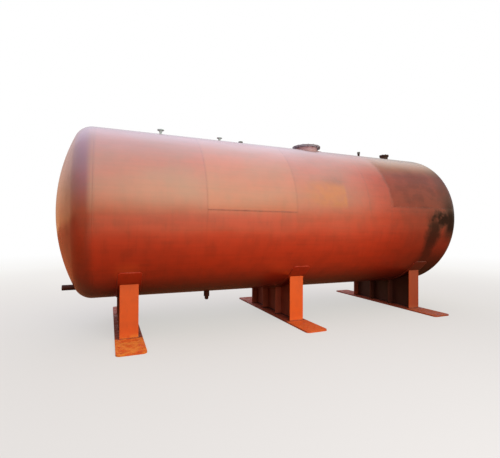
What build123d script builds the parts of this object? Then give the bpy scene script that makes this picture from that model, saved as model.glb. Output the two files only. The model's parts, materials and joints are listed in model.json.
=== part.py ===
from build123d import *

import os
from math import asin, degrees

os.makedirs("parts", exist_ok=True)

# Cylindrical shell, lying along X, rolled in five courses of plate
shell_diameter = 2820
shell_plate = 10
course_1_width = 1560
course_2_width = 1530
course_3_width = 1530
course_4_width = 510
course_5_width = 1560
clearance_below_shell = 533

# Dished ends: a straight skirt, a knuckle and a spherical crown
head_plate = 12
head_skirt = 30
knuckle_radius = 280
crown_radius = 2800

# Saddles: a wear plate on the shell, upright plates and a base plate on the floor
left_saddle_setback = 525
right_saddle_setback = 465
base_length = 3160
base_width = 400
base_thickness = 25
base_corner_radius = 60
saddle_length = 1776
saddle_width = 270
web_thickness = 16
rib_thickness = 16
end_plate_thickness = 20
wear_plate_width = 340
wear_plate_thickness = 12
wear_plate_half_angle = 49.5
wear_plate_corner_radius = 30

# Manhole on the crown: pad, neck, flange, gasket and bolted cover
manhole_station = 4151
manhole_rise = 110
manhole_neck_diameter = 457
manhole_neck_wall = 10
manhole_neck_inside = 60
manhole_pad_diameter = 660
manhole_pad_thickness = 10
manhole_flange_diameter = 595
manhole_flange_thickness = 16
manhole_gasket_diameter = 525
manhole_gasket_thickness = 2
manhole_cover_thickness = 10
manhole_bolt_circle_diameter = 555
manhole_bolt_hole = 18
manhole_bolts = 16

# Crown fittings, each at its station along the shell from the left tangent line
fitting_inside = 30
small_nozzle_bolts = 4
hub_height = 36
hub_lip = 3
hub_clearance = 2

vent_station = 1088
vent_rise = 130
vent_pipe_diameter = 42.4
vent_pipe_wall = 3.2
vent_flange_diameter = 120
vent_flange_thickness = 12
vent_bolt_circle_diameter = 90
vent_bolt_hole = 14

gauge_station = 2201
gauge_rise = 106
gauge_pipe_diameter = 33.7
gauge_pipe_wall = 3.2
gauge_flange_diameter = 100
gauge_flange_thickness = 12
gauge_bolt_circle_diameter = 75
gauge_bolt_hole = 11

coupling_station = 2640
coupling_diameter = 109
coupling_bore = 76
coupling_rise = 42
coupling_plug_depth = 40
coupling_plug_head = 34
coupling_plug_flats = 80

crown_pad_station = 5288
crown_pad_length = 448
crown_pad_width = 100
crown_pad_rise = 34

stub_station = 5558
stub_rise = 142
stub_pipe_diameter = 48.3
stub_pipe_wall = 3.6
stub_cap_diameter = 64
stub_cap_height = 46
stub_cap_top = 12

inlet_setback = 436
inlet_rise = 132
inlet_pipe_diameter = 168.3
inlet_pipe_wall = 4.5
inlet_flange_diameter = 210
inlet_flange_thickness = 16
inlet_bolt_circle_diameter = 189
inlet_bolt_hole = 11
inlet_bolts = 8

# Drain under the shell and outlet pipe low on the left head
drain_station = 1960
drain_socket_diameter = 105
drain_socket_length = 115
drain_bore = 60
drain_plug_diameter = 72
drain_plug_depth = 50
drain_plug_length = 63
drain_plug_chamfer = 16

outlet_below_axis = 1234
outlet_reach = 469
outlet_inside = 150
outlet_pipe_diameter = 88.9
outlet_pipe_wall = 4

# Worked out from the sizes above
course_widths = (course_1_width, course_2_width, course_3_width, course_4_width, course_5_width)
tangent_length = sum(course_widths) + 2 * head_skirt
left_tangent = -tangent_length / 2
right_tangent = tangent_length / 2
shell_radius = shell_diameter / 2
wear_radius = shell_radius + wear_plate_thickness
axis_height = clearance_below_shell + shell_radius
crown_height = axis_height + shell_radius
knuckle_angle = 90 - degrees(asin((shell_radius - knuckle_radius) / (crown_radius - knuckle_radius)))
manhole_top = crown_height + manhole_rise
manhole_gasket_top = manhole_top - manhole_cover_thickness
manhole_flange_top = manhole_gasket_top - manhole_gasket_thickness

saddle_positions = {
    "left": left_tangent + left_saddle_setback,
    "middle": (left_saddle_setback - right_saddle_setback) / 2,
    "right": right_tangent - right_saddle_setback,
}

manhole_x = left_tangent + manhole_station
vent_x = left_tangent + vent_station
gauge_x = left_tangent + gauge_station
coupling_x = left_tangent + coupling_station
crown_pad_x = left_tangent + crown_pad_station
stub_x = left_tangent + stub_station
inlet_x = right_tangent - inlet_setback
drain_x = left_tangent + drain_station
outlet_height = axis_height - outlet_below_axis

# Holes in the shell plate, as wide as the neck or pipe that passes through
crown_holes = {
    manhole_x: manhole_neck_diameter,
    vent_x: vent_pipe_diameter,
    gauge_x: gauge_pipe_diameter,
    coupling_x: coupling_diameter,
    stub_x: stub_pipe_diameter,
    inlet_x: inlet_pipe_diameter,
}


def finish(part, name):
    """Label a piece and write it to its own file."""
    part.label = name
    export_step(part, f"parts/{name}.step")


def shell_section(radius, mode=Mode.ADD):
    """A full disc about the shell's axis, on a plane square to that axis."""
    with Locations((0, axis_height)):
        Circle(radius, mode=mode)


def tube(outer_diameter, wall):
    """A tube's section about the current location."""
    Circle(outer_diameter / 2)
    Circle(outer_diameter / 2 - wall, mode=Mode.SUBTRACT)


# Shell courses
course_start = left_tangent + head_skirt
for number, course_width in enumerate(course_widths, start=1):
    with BuildPart() as course:
        with BuildSketch(Plane.YZ.offset(course_start)):
            shell_section(shell_radius)
            shell_section(shell_radius - shell_plate, mode=Mode.SUBTRACT)
        extrude(amount=course_width)
        for hole_x, hole_diameter in crown_holes.items():
            with BuildSketch(Plane.XY.offset(axis_height)):
                with Locations((hole_x, 0)):
                    Circle(hole_diameter / 2)
            extrude(amount=shell_diameter, mode=Mode.SUBTRACT)
        with BuildSketch(Plane.XY.offset(axis_height)):
            with Locations((drain_x, 0)):
                Circle(drain_socket_diameter / 2)
        extrude(amount=-axis_height, mode=Mode.SUBTRACT)
    finish(course.part, f"shell_course_{number}")
    course_start += course_width


def head_meridian(inset):
    """Half outline of a dished end, from its weld edge to its crown, drawn inset from the outside."""
    skirt = Line((-head_skirt, shell_radius - inset), (0, shell_radius - inset))
    knuckle = JernArc(skirt @ 1, (1, 0), knuckle_radius - inset, -knuckle_angle)
    crown = JernArc(knuckle @ 1, knuckle % 1, crown_radius - inset, knuckle_angle - 90)
    Polyline(crown @ 1, (-head_skirt, 0), skirt @ 0)


# Dished heads, each revolved about the shell's axis from its own tangent line
head_planes = {
    "left_head": Plane((left_tangent, 0, axis_height), x_dir=(-1, 0, 0), z_dir=(0, 1, 0)),
    "right_head": Plane((right_tangent, 0, axis_height), x_dir=(1, 0, 0), z_dir=(0, -1, 0)),
}
for name, plane in head_planes.items():
    with BuildPart() as head:
        with BuildSketch(plane):
            with BuildLine():
                head_meridian(0)
            make_face()
            with BuildLine():
                head_meridian(head_plate)
            make_face(mode=Mode.SUBTRACT)
        revolve(axis=Axis(plane.origin, plane.x_dir))
        if name == "left_head":
            with BuildSketch(Plane.YZ.offset(left_tangent)):
                with Locations((0, outlet_height)):
                    Circle(outlet_pipe_diameter / 2)
            extrude(amount=-shell_radius, mode=Mode.SUBTRACT)
    finish(head.part, name)


def upright_section(low_y, high_y):
    """A plate between the base plate and the wear plate, seen along the shell's axis."""
    with Locations(((low_y + high_y) / 2, base_thickness)):
        Rectangle(high_y - low_y, axis_height - base_thickness, align=(Align.CENTER, Align.MIN))
    shell_section(wear_radius, mode=Mode.SUBTRACT)


# Saddles
end_face = saddle_length / 2
end_plate_inside = end_face - end_plate_thickness
rib_spacing = saddle_length / 3
for side, saddle_x in saddle_positions.items():
    with BuildPart() as base_plate:
        with BuildSketch(Plane.XY):
            with Locations((saddle_x, 0)):
                RectangleRounded(base_width, base_length, base_corner_radius)
        extrude(amount=base_thickness)
    finish(base_plate.part, f"{side}_saddle_base_plate")

    with BuildPart() as wear_plate:
        with BuildSketch(Plane.YZ.offset(saddle_x)):
            with BuildLine():
                arc_start = 270 - wear_plate_half_angle
                inner = CenterArc((0, axis_height), shell_radius, arc_start, 2 * wear_plate_half_angle)
                outer = CenterArc((0, axis_height), wear_radius, arc_start, 2 * wear_plate_half_angle)
                Line(inner @ 0, outer @ 0)
                Line(inner @ 1, outer @ 1)
            make_face()
        extrude(amount=wear_plate_width / 2, both=True)
        corner_edges = wear_plate.edges().filter_by(GeomType.LINE).group_by(SortBy.LENGTH)[0]
        fillet(corner_edges, wear_plate_corner_radius)
    finish(wear_plate.part, f"{side}_saddle_wear_plate")

    with BuildPart() as web:
        with BuildSketch(Plane.YZ.offset(saddle_x)):
            upright_section(-end_plate_inside, end_plate_inside)
        extrude(amount=web_thickness / 2, both=True)
    finish(web.part, f"{side}_saddle_web")

    with BuildPart() as front_end_plate:
        with BuildSketch(Plane.YZ.offset(saddle_x)):
            upright_section(-end_face, -end_plate_inside)
        extrude(amount=saddle_width / 2, both=True)
    finish(front_end_plate.part, f"{side}_saddle_front_end_plate")

    with BuildPart() as back_end_plate:
        with BuildSketch(Plane.YZ.offset(saddle_x)):
            upright_section(end_plate_inside, end_face)
        extrude(amount=saddle_width / 2, both=True)
    finish(back_end_plate.part, f"{side}_saddle_back_end_plate")

    with BuildPart() as inner_ribs:
        with BuildSketch(Plane.YZ.offset(saddle_x + web_thickness / 2)):
            for rib_y in (-rib_spacing / 2, rib_spacing / 2):
                upright_section(rib_y - rib_thickness / 2, rib_y + rib_thickness / 2)
        extrude(amount=(saddle_width - web_thickness) / 2)
        mirror(about=Plane.YZ.offset(saddle_x))
    finish(inner_ribs.part, f"{side}_saddle_inner_ribs")

# Manhole
with BuildPart() as manhole_pad:
    with BuildSketch(Plane.XY.offset(axis_height)):
        with Locations((manhole_x, 0)):
            Circle(manhole_pad_diameter / 2)
            Circle(manhole_neck_diameter / 2, mode=Mode.SUBTRACT)
    extrude(amount=shell_diameter)
    with BuildSketch(Plane.YZ.offset(manhole_x)):
        shell_section(shell_radius + manhole_pad_thickness)
        shell_section(shell_radius, mode=Mode.SUBTRACT)
    extrude(amount=manhole_pad_diameter, both=True, mode=Mode.INTERSECT)
finish(manhole_pad.part, "manhole_pad")

with BuildPart() as manhole_neck:
    with BuildSketch(Plane.XY.offset(crown_height - manhole_neck_inside)):
        with Locations((manhole_x, 0)):
            tube(manhole_neck_diameter, manhole_neck_wall)
    extrude(amount=manhole_flange_top - crown_height + manhole_neck_inside)
finish(manhole_neck.part, "manhole_neck")

with BuildPart() as manhole_flange:
    with BuildSketch(Plane.XY.offset(manhole_flange_top - manhole_flange_thickness)):
        with Locations((manhole_x, 0)):
            Circle(manhole_flange_diameter / 2)
            Circle(manhole_neck_diameter / 2, mode=Mode.SUBTRACT)
            with PolarLocations(manhole_bolt_circle_diameter / 2, manhole_bolts):
                Circle(manhole_bolt_hole / 2, mode=Mode.SUBTRACT)
    extrude(amount=manhole_flange_thickness)
finish(manhole_flange.part, "manhole_flange")

with BuildPart() as manhole_gasket:
    with BuildSketch(Plane.XY.offset(manhole_flange_top)):
        with Locations((manhole_x, 0)):
            Circle(manhole_gasket_diameter / 2)
            Circle(manhole_neck_diameter / 2 - manhole_neck_wall, mode=Mode.SUBTRACT)
    extrude(amount=manhole_gasket_thickness)
finish(manhole_gasket.part, "manhole_gasket")

with BuildPart() as manhole_cover:
    with BuildSketch(Plane.XY.offset(manhole_gasket_top)):
        with Locations((manhole_x, 0)):
            Circle(manhole_flange_diameter / 2)
            with PolarLocations(manhole_bolt_circle_diameter / 2, manhole_bolts):
                Circle(manhole_bolt_hole / 2, mode=Mode.SUBTRACT)
    extrude(amount=manhole_cover_thickness)
finish(manhole_cover.part, "manhole_cover")


def crown_pipe(x, diameter, wall, top, name):
    """A pipe that passes down through the crown plate, with its end inside the shell."""
    with BuildPart() as pipe:
        with BuildSketch(Plane.XY.offset(crown_height - fitting_inside)):
            with Locations((x, 0)):
                tube(diameter, wall)
        extrude(amount=top - crown_height + fitting_inside)
    finish(pipe.part, name)


def pipe_flange(x, top, diameter, thickness, bolt_circle_diameter, bolt_hole, bolts, name, bore=0, hub=0):
    """A flange with bolt holes beside the shell's axis: blind without a bore, tapered below with a hub."""
    hub_foot = bolt_circle_diameter - bolt_hole - 2 * hub_clearance
    with BuildPart() as flange:
        with BuildSketch(Plane.XY.offset(top)):
            with Locations((x, 0)):
                Circle(diameter / 2)
                with PolarLocations(bolt_circle_diameter / 2, bolts, start_angle=180 / bolts):
                    Circle(bolt_hole / 2, mode=Mode.SUBTRACT)
        extrude(amount=-thickness)
        if hub > 0:
            with Locations((x, 0, top - thickness)):
                Cone(bore / 2 + hub_lip, hub_foot / 2, hub, align=(Align.CENTER, Align.CENTER, Align.MAX))
        if bore > 0:
            with BuildSketch(Plane.XY.offset(top)):
                with Locations((x, 0)):
                    Circle(bore / 2)
            extrude(amount=-thickness - hub, mode=Mode.SUBTRACT)
    finish(flange.part, name)


# Small flanged nozzles on the left half of the crown
vent_top = crown_height + vent_rise
crown_pipe(vent_x, vent_pipe_diameter, vent_pipe_wall, vent_top, "vent_nozzle_pipe")
pipe_flange(
    vent_x, vent_top, vent_flange_diameter, vent_flange_thickness, vent_bolt_circle_diameter,
    vent_bolt_hole, small_nozzle_bolts, "vent_nozzle_flange", bore=vent_pipe_diameter, hub=hub_height,
)

gauge_top = crown_height + gauge_rise
crown_pipe(gauge_x, gauge_pipe_diameter, gauge_pipe_wall, gauge_top, "gauge_nozzle_pipe")
pipe_flange(
    gauge_x, gauge_top, gauge_flange_diameter, gauge_flange_thickness, gauge_bolt_circle_diameter,
    gauge_bolt_hole, small_nozzle_bolts, "gauge_nozzle_flange", bore=gauge_pipe_diameter, hub=hub_height,
)

# Plugged coupling on the crown
coupling_top = crown_height + coupling_rise
coupling_wall = (coupling_diameter - coupling_bore) / 2
crown_pipe(coupling_x, coupling_diameter, coupling_wall, coupling_top, "crown_coupling")

with BuildPart() as coupling_plug:
    with BuildSketch(Plane.XY.offset(coupling_top)):
        with Locations((coupling_x, 0)):
            RegularPolygon(coupling_plug_flats / 2, 6, major_radius=False)
    extrude(amount=coupling_plug_head)
    with BuildSketch(Plane.XY.offset(coupling_top)):
        with Locations((coupling_x, 0)):
            Circle(coupling_bore / 2)
    extrude(amount=-coupling_plug_depth)
finish(coupling_plug.part, "crown_coupling_plug")

# Low pad plate on the crown, hollowed underneath to the shell's curve
with BuildPart() as crown_pad:
    with BuildSketch(Plane.YZ.offset(crown_pad_x)):
        with Locations((0, axis_height)):
            Rectangle(crown_pad_width, shell_radius + crown_pad_rise, align=(Align.CENTER, Align.MIN))
        shell_section(shell_radius, mode=Mode.SUBTRACT)
    extrude(amount=crown_pad_length / 2, both=True)
finish(crown_pad.part, "crown_pad")

# Capped pipe stub
stub_top = crown_height + stub_rise
crown_pipe(stub_x, stub_pipe_diameter, stub_pipe_wall, stub_top - stub_cap_top, "stub_pipe")

with BuildPart() as stub_cap:
    with BuildSketch(Plane.XY.offset(stub_top)):
        with Locations((stub_x, 0)):
            Circle(stub_cap_diameter / 2)
    extrude(amount=-stub_cap_height)
    with BuildSketch(Plane.XY.offset(stub_top - stub_cap_top)):
        with Locations((stub_x, 0)):
            Circle(stub_pipe_diameter / 2)
    extrude(amount=-stub_cap_height, mode=Mode.SUBTRACT)
finish(stub_cap.part, "stub_cap")

# Large flanged nozzle near the right head, closed by a blind flange
inlet_top = crown_height + inlet_rise
inlet_face = inlet_top - inlet_flange_thickness
crown_pipe(inlet_x, inlet_pipe_diameter, inlet_pipe_wall, inlet_face, "inlet_nozzle_pipe")
pipe_flange(
    inlet_x, inlet_face, inlet_flange_diameter, inlet_flange_thickness, inlet_bolt_circle_diameter,
    inlet_bolt_hole, inlet_bolts, "inlet_nozzle_flange", bore=inlet_pipe_diameter,
)
pipe_flange(
    inlet_x, inlet_top, inlet_flange_diameter, inlet_flange_thickness, inlet_bolt_circle_diameter,
    inlet_bolt_hole, inlet_bolts, "inlet_blind_flange",
)

# Drain socket under the shell, with its plug
drain_mouth = clearance_below_shell - drain_socket_length
with BuildPart() as drain_socket:
    with BuildSketch(Plane.XY.offset(drain_mouth)):
        with Locations((drain_x, 0)):
            tube(drain_socket_diameter, (drain_socket_diameter - drain_bore) / 2)
    extrude(amount=drain_socket_length + fitting_inside)
finish(drain_socket.part, "drain_socket")

with BuildPart() as drain_plug:
    with BuildSketch(Plane.XY.offset(drain_mouth)):
        with Locations((drain_x, 0)):
            Circle(drain_plug_diameter / 2)
    extrude(amount=-drain_plug_length)
    chamfer(drain_plug.edges().group_by(Axis.Z)[0], drain_plug_chamfer)
    with BuildSketch(Plane.XY.offset(drain_mouth)):
        with Locations((drain_x, 0)):
            Circle(drain_bore / 2)
    extrude(amount=drain_plug_depth)
finish(drain_plug.part, "drain_plug")

# Outlet pipe through the left head, parallel to the shell's axis
with BuildPart() as outlet_pipe:
    with BuildSketch(Plane.YZ.offset(left_tangent - outlet_reach)):
        with Locations((0, outlet_height)):
            tube(outlet_pipe_diameter, outlet_pipe_wall)
    extrude(amount=outlet_reach - outlet_inside)
finish(outlet_pipe.part, "outlet_pipe")
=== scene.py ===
"""Paint, welds and bolts of a horizontal pressure tank on plate saddles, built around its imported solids."""

import json
import math
from collections import namedtuple

import bmesh
import bpy
from bpy.props import FloatProperty, FloatVectorProperty, IntProperty, PointerProperty
from mathutils import Matrix, Vector, noise


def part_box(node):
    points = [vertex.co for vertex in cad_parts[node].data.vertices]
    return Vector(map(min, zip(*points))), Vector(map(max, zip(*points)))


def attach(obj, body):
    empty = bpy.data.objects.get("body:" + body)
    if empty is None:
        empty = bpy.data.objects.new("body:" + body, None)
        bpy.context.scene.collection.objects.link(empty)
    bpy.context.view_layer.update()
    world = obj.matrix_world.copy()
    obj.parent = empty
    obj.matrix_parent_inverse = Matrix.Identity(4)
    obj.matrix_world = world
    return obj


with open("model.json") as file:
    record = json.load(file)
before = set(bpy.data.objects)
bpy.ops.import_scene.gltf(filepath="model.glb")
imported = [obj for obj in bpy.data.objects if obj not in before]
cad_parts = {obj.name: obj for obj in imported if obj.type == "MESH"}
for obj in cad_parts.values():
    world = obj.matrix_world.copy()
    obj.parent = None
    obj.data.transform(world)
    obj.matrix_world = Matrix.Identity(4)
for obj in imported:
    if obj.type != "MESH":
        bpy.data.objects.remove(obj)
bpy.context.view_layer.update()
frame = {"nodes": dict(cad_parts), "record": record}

bl_info = {
    "name": "Horizontal Pressure Tank",
    "version": (1, 0, 0),
    "blender": (4, 5, 0),
    "location": "3D View > Sidebar > Tank",
    "description": "Red primer, weld beads and bolts for a horizontal pressure tank",
    "category": "Object",
}

COURSES = [f"shell_course_{number}" for number in range(1, 6)]
SADDLES = ["left_saddle", "middle_saddle", "right_saddle"]
WHITE = (1, 1, 1, 1)

# The shell's own sizes, read from the frame
SHELL_LOW, SHELL_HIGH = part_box("shell_course_4")
SHELL_RADIUS = (SHELL_HIGH.y - SHELL_LOW.y) / 2
AXIS_HEIGHT = (SHELL_HIGH.z + SHELL_LOW.z) / 2
CROWN_HEIGHT = AXIS_HEIGHT + SHELL_RADIUS
SEAMS = [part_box(COURSES[0])[0].x] + [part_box(name)[1].x for name in COURSES]


def linear(colour):
    """Linear RGBA of an sRGB hex colour."""
    parts = [int(colour[i:i + 2], 16) / 255 for i in (0, 2, 4)]
    return tuple(c / 12.92 if c <= 0.04045 else ((c + 0.055) / 1.055) ** 2.4 for c in parts) + (1.0,)


def node(tree, kind, sockets=None, **attributes):
    """Add a node and set its attributes; its named or numbered inputs take values or other outputs."""
    made = tree.nodes.new(kind)
    for name, value in attributes.items():
        setattr(made, name, value)
    for name, value in (sockets or {}).items():
        if isinstance(value, bpy.types.NodeSocket):
            tree.links.new(value, made.inputs[name])
        else:
            made.inputs[name].default_value = value
    return made


def maths(tree, operation, *values):
    """The result of one step of arithmetic on values or other outputs."""
    return node(tree, "ShaderNodeMath", dict(enumerate(values)), operation=operation).outputs[0]


def colour_property(name, description, colour):
    """A colour that a user may change, with its default given as sRGB hex."""
    return FloatVectorProperty(
        name=name, description=description, subtype="COLOR", size=4, min=0, max=1, default=linear(colour)
    )


def length_property(name, description, millimetres):
    """A length that a user may change, with its default given in millimetres."""
    return FloatProperty(
        name=name, description=description, unit="LENGTH", min=0.0001, default=millimetres / 1000
    )


def amount_property(name, description, amount):
    """A strength, share or number of pixels that a user may change."""
    return FloatProperty(name=name, description=description, min=0, default=amount)


def place_property(name, description, place):
    """A place that a user may change, in metres."""
    return FloatVectorProperty(
        name=name, description=description, subtype="XYZ", unit="LENGTH", default=place
    )


def turn_property(name, description, angle):
    """An angle that a user may change, in radians."""
    return FloatProperty(name=name, description=description, unit="ROTATION", default=angle)


class PaintSettings(bpy.types.PropertyGroup):
    """Colours of the primer, the fittings and the dirt on them, and of the sheen, light and shade painted
    into them.
    """

    shell: colour_property("Shell primer", "Red oxide primer on the shell and heads", "9E280E")
    # Bloom: chalky weathering, and also a painted sky sheen on the upper side
    bloom_and_sky_sheen: colour_property("Bloom", "Chalky weathering on the upper side of the shell", "6D4A3E")
    # Crown bloom and crown dust: dust, and also a painted sky sheen along the crown
    lilac_bloom_and_sky_sheen: colour_property("Crown bloom", "Greyish lilac bloom along the crown", "8A7280")
    beige_dust_and_sky_sheen: colour_property("Crown dust", "Beige dust on the crown at the right end", "96886E")
    # Grime: dirt, and also painted shade under the shell, on its knuckles and towards its ends
    shell_dirt_and_shade: colour_property("Grime", "Dirt under the shell and along its welds", "3A130A")
    shell_ochre: colour_property("Ochre", "Old yellowish dust on the second and third courses", "A0682A")
    # Stain: stained primer, and also a painted shadow near the right end
    shell_stain_and_shadow: colour_property("Stain", "Old stained primer near the right end", "60281C")
    # Soot: a black patch, and also painted shade round it and at the right end of the saddles and wear plates
    soot_and_shade: colour_property("Soot", "Black soot at the right end", "150D0A")
    weld: colour_property("Weld primer", "Primer over the fillet welds, where dirt holds", "942812")
    saddle: colour_property("Saddle primer", "Fresh orange red primer on the saddles", "BE4C16")
    # Web primer: the webs' and ribs' dark colour is painted shade under the shell
    web: colour_property("Web primer", "Older primer on the webs and ribs", "783220")
    dust: colour_property("Dust", "Yellowish dust on the base plates", "D08A24")
    manhole: colour_property("Manhole steel", "Lilac grey primer on the manhole cover and rim", "6A6674")
    # Manhole underside: painted light, the pale glow that the crown throws up under the flange
    manhole_under_light: colour_property("Manhole underside", "Pale lilac grey under the manhole flange", "A4B2C8")
    neck: colour_property("Manhole neck", "Dusty pink primer on the manhole's neck", "A88E9C")
    gasket: colour_property("Gasket", "Black rubber of the manhole gasket", "1B1A1A")
    gasket_chalk: colour_property("Chalked gasket", "Grey where the gasket has chalked", "3A3735")
    grey_fitting: colour_property("Grey fittings", "Grey paint on the small flanged nozzles", "9CB4BC")
    dark_fitting: colour_property("Dark fittings", "Brown black paint on inlet, outlet and drain", "342522")
    cap: colour_property("Caps", "Dark grey paint on the screwed plug and cap of the crown", "464E50")
    rust: colour_property("Rust", "Rust on fittings and bolts", "6B3318")
    bolt: colour_property("Bolts", "Weathered zinc of bolts and nuts", "8E90A0")


class WeldSettings(bpy.types.PropertyGroup):
    """Sizes of the weld beads."""

    seam_width: length_property("Seam width", "Width of the seams between courses", 13)
    seam_height: length_property("Seam height", "Height of the seams above the plate", 1.0)
    fillet: length_property("Fillet", "Leg of the fillet welds round plates and pipes", 7)
    top_fillet: length_property("Top fillet", "Leg of the fillets along the tops of the wear plates", 11)
    plate_corner: length_property("Plate corner", "Rounding of the wear plates' corners", 30)
    steps: IntProperty(
        name="Steps", description="Steps round the shell in a seam", min=48, max=512, default=256
    )


class BoltSettings(bpy.types.PropertyGroup):
    """Sizes of the bolts that close the manhole and the blanked nozzle."""

    manhole_circle: length_property("Manhole circle", "Diameter of the circle of manhole bolts", 555)
    manhole_count: IntProperty(name="Manhole bolts", description="Bolts round the manhole", min=4, default=16)
    manhole_shank: length_property("Manhole bolt", "Diameter of the manhole bolts", 16)
    manhole_flats: length_property("Manhole nut", "Size across the flats of the manhole nuts", 24)
    manhole_head: length_property("Manhole head", "Height of the heads on the manhole cover", 8)
    blank_circle: length_property("Blank circle", "Diameter of the circle of blind flange bolts", 189)
    blank_count: IntProperty(name="Blank bolts", description="Bolts round the blind flange", min=4, default=8)
    blank_shank: length_property("Blank bolt", "Diameter of the bolts of the blind flange", 10)
    blank_flats: length_property("Blank nut", "Size across the flats of the blind flange's nuts", 16)
    blank_head: length_property("Blank head", "Height of the heads on the blind flange", 6.4)
    washer: length_property("Washer", "Thickness of the washers", 1.6)


# Colour and brightness of the sky by angle over the tank, from the horizon in front to the one behind
SKY_BANDS = (
    (0, "F0D4A0", 0.44), (8, "FAE4B4", 0.54), (16, "FFF0C6", 0.66), (28, "FFF4D0", 0.76),
    (50, "FFF4DC", 0.74), (75, "FFF4E8", 0.7), (95, "FAF4F4", 0.62), (130, "EEF0FE", 0.48),
    (150, "EAECFA", 0.28), (165, "F0ECEC", 0.13), (180, "E8D4C0", 0.1),
)
# The same for the far left, by height from the horizon to straight above
LEFT_BANDS = (
    (0.0, "E8A068", 0.32), (0.15, "E0B090", 0.34), (0.4, "DCC8CC", 0.39), (0.65, "DAD6EE", 0.48),
    (1.0, "D0D8FF", 0.65),
)


class StudioSettings(bpy.types.PropertyGroup):
    """Light, floor and camera."""

    sky_strength: amount_property("Sky", "Brightness of the sky", 3.6)
    right_share: amount_property("Right", "Share of the sky's light from the far right", 0.4)
    soil: colour_property("Near ground", "What the ground under the tank sends back up to it", "704830")
    sand: colour_property("Far ground", "What the ground further off sends back to the tank", "D8B488")
    clay: colour_property("Left ground", "What the redder ground on the left sends back", "94461E")
    floor: colour_property("Floor", "Pale floor", "F4F2EF")
    floor_share: amount_property("Floor shade", "Share of the floor that shadows dim", 0.4)
    floor_albedo: amount_property("Floor tone", "How much light that share sends back", 0.4)
    key_power: amount_property("Key light", "Power of the soft panel in front", 205)
    key_place: place_property("Key place", "Where the soft panel stands", (-0.2, -6.5, 2.4))
    back_power: amount_property("Back light", "Power of the soft panel behind", 500)
    back_place: place_property("Back place", "Where the panel behind the tank stands", (0.0, 9.0, 4.0))
    focal_pixels: amount_property("Focal length", "Focal length in image pixels", 342.3)
    image_width: amount_property("Image width", "Width of the image in pixels", 500)
    camera_place: place_property(
        "Camera", "Where the camera stands, from the floor under the shell's middle",
        (-3.1415, -6.3447, 1.6158),
    )
    camera_yaw: turn_property("Yaw", "Turn from square on to the shell", 0.391)
    camera_pitch: turn_property("Pitch", "Tilt upwards", 0.0118)
    camera_roll: turn_property("Roll", "Tilt sideways", 0.0039)


def cloud(tree, coordinates, size_mm, stretch=(1, 1, 1), detail=4.0, roughness=0.5):
    """Soft noise with lumps about size_mm across, drawn out along each axis by stretch."""
    scale = [1000 / (size_mm * s) for s in stretch]
    placed = node(tree, "ShaderNodeMapping", {"Vector": coordinates, "Scale": scale}).outputs[0]
    sockets = {"Vector": placed, "Scale": 1.0, "Detail": detail, "Roughness": roughness}
    return node(tree, "ShaderNodeTexNoise", sockets).outputs[0]


def rise(tree, value, start, end):
    """Zero before start and one after end, with a smooth step between."""
    sockets = {"Value": value, "From Min": start, "From Max": end}
    return node(tree, "ShaderNodeMapRange", sockets, interpolation_type="SMOOTHSTEP").outputs[0]


def patches(tree, coordinates, size_mm, low, high, stretch=(1, 1, 1), detail=4.0):
    """A mask of soft patches about size_mm across; low and high say how much of the noise they take."""
    return rise(tree, cloud(tree, coordinates, size_mm, stretch, detail), low, high)


def times(tree, first, *others):
    """Product of values or outputs, and so the place where several masks meet."""
    for other in others:
        first = maths(tree, "MULTIPLY", first, other)
    return first


def larger(tree, first, *others):
    """The largest of values or outputs, and so the place that any of several masks covers."""
    for other in others:
        first = maths(tree, "MAXIMUM", first, other)
    return first


def plus(tree, value, factor, other):
    """A value times a factor, plus another: with noise as the value, it makes an edge wander."""
    return maths(tree, "MULTIPLY_ADD", value, factor, other)


def between(tree, value, start, end, softness):
    """One between start and end, falling to zero outside over the softness."""
    rising = rise(tree, value, start - softness, start + softness)
    return times(tree, rising, rise(tree, value, end + softness, end - softness))


def ranged(tree, value, low, high, start=0.0, end=1.0):
    """A mask, or a value from start to end, stretched to reach from low to high."""
    sockets = {"Value": value, "From Min": start, "From Max": end, "To Min": low, "To Max": high}
    return node(tree, "ShaderNodeMapRange", sockets).outputs[0]


def coats(tree, colour, *layers):
    """A colour with coats over it, each given as its own colour and the masks and shares that limit it."""
    for over, *masks in layers:
        sockets = {0: times(tree, *masks), 6: colour, 7: over}
        colour = node(tree, "ShaderNodeMix", sockets, data_type="RGBA").outputs[2]
    return colour


def shell_height(tree, up):
    """Height on the shell as a share of its radius, from -1 under it to 1 on the crown."""
    return ranged(tree, up, -1, 1, AXIS_HEIGHT - SHELL_RADIUS, CROWN_HEIGHT)


def new_material(name):
    """The nodes of a new, empty material, its Object coordinates and their three parts.

    The model comes in with plain materials under the slots' names, which give those names up here.
    """
    packed = bpy.data.materials.get(name)
    if packed:
        packed.name = f"{name}_packed"
    material = bpy.data.materials.new(name)
    material.use_nodes = True
    tree = material.node_tree
    tree.nodes.clear()
    coordinates = node(tree, "ShaderNodeTexCoord").outputs["Object"]
    return tree, coordinates, node(tree, "ShaderNodeSeparateXYZ", {0: coordinates}).outputs


def finish_material(tree, colour, roughness, relief, depth_mm, more=None, under=None):
    """Join colour, gloss and relief in one shader; under is a normal for the relief to lie on."""
    bump = node(tree, "ShaderNodeBump", {"Height": relief, "Distance": depth_mm / 1000, "Strength": 1.0})
    if under:
        tree.links.new(under, bump.inputs["Normal"])
    sockets = {
        "Base Color": colour, "Roughness": roughness, "Normal": bump.outputs[0],
        "Coat Normal": bump.outputs[0], **(more or {}),
    }
    shader = node(tree, "ShaderNodeBsdfPrincipled", sockets)
    node(tree, "ShaderNodeOutputMaterial", {"Surface": shader.outputs[0]})


# A point on the shell, for its paint: metres along it from its middle and across it, height as a share of
# its radius, and a mask of its front half with a wandering edge. The functions below that return coats
# or masks take their numbers in the same units, and a coat's last number is its share.
Place = namedtuple("Place", "coordinates along across height front")


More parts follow.
